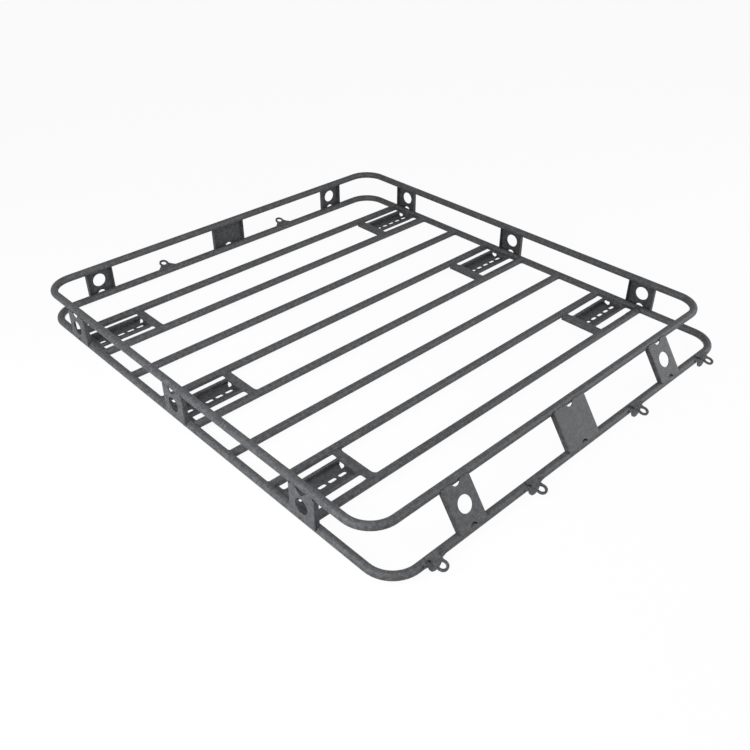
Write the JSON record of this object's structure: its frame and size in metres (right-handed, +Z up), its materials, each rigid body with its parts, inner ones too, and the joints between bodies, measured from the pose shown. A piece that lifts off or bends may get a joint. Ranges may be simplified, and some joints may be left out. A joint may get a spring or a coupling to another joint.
{
  "type": "roof rack",
  "caption": "Open flat roof rack: round-tube rail loops, crossbars, folded upright plates with round holes, slotted mounting plates and eye tabs.",
  "frame": {"origin": "on the floor under the middle of the rack, level with the lowest points of the eye tabs", "axes": "+X across the vehicle to its right, +Y along it to the rear, -Y the raked front, +Z up"},
  "size_m": [1.3776, 1.6118, 0.1342],
  "materials": {
    "powder_coat": "matte textured black powder coat"
  },
  "bodies": {
    "root": {"top_rail_front": "powder_coat", "top_rail_back": "powder_coat", "lower_rail_front": "powder_coat", "lower_rail_back": "powder_coat", "crossbar_1": "powder_coat", "crossbar_2": "powder_coat", "crossbar_3": "powder_coat", "crossbar_4": "powder_coat", "crossbar_5": "powder_coat", "crossbar_6": "powder_coat", "crossbar_7": "powder_coat", "crossbar_8": "powder_coat", "front_upright_left": "powder_coat", "back_upright_left": "powder_coat", "front_upright_middle": "powder_coat", "back_upright_middle": "powder_coat", "front_upright_right": "powder_coat", "back_upright_right": "powder_coat", "left_upright_front": "powder_coat", "right_upright_front": "powder_coat", "left_upright_middle": "powder_coat", "right_upright_middle": "powder_coat", "left_upright_back": "powder_coat", "right_upright_back": "powder_coat", "mount_plate_left_back": "powder_coat", "mount_plate_right_back": "powder_coat", "mount_plate_left_middle": "powder_coat", "mount_plate_right_middle": "powder_coat", "mount_plate_left_front": "powder_coat", "mount_plate_right_front": "powder_coat", "front_tab_1": "powder_coat", "front_tab_2": "powder_coat", "front_tab_3": "powder_coat", "front_tab_4": "powder_coat", "back_tab_1": "powder_coat", "back_tab_2": "powder_coat"}
  },
  "joints": []
}
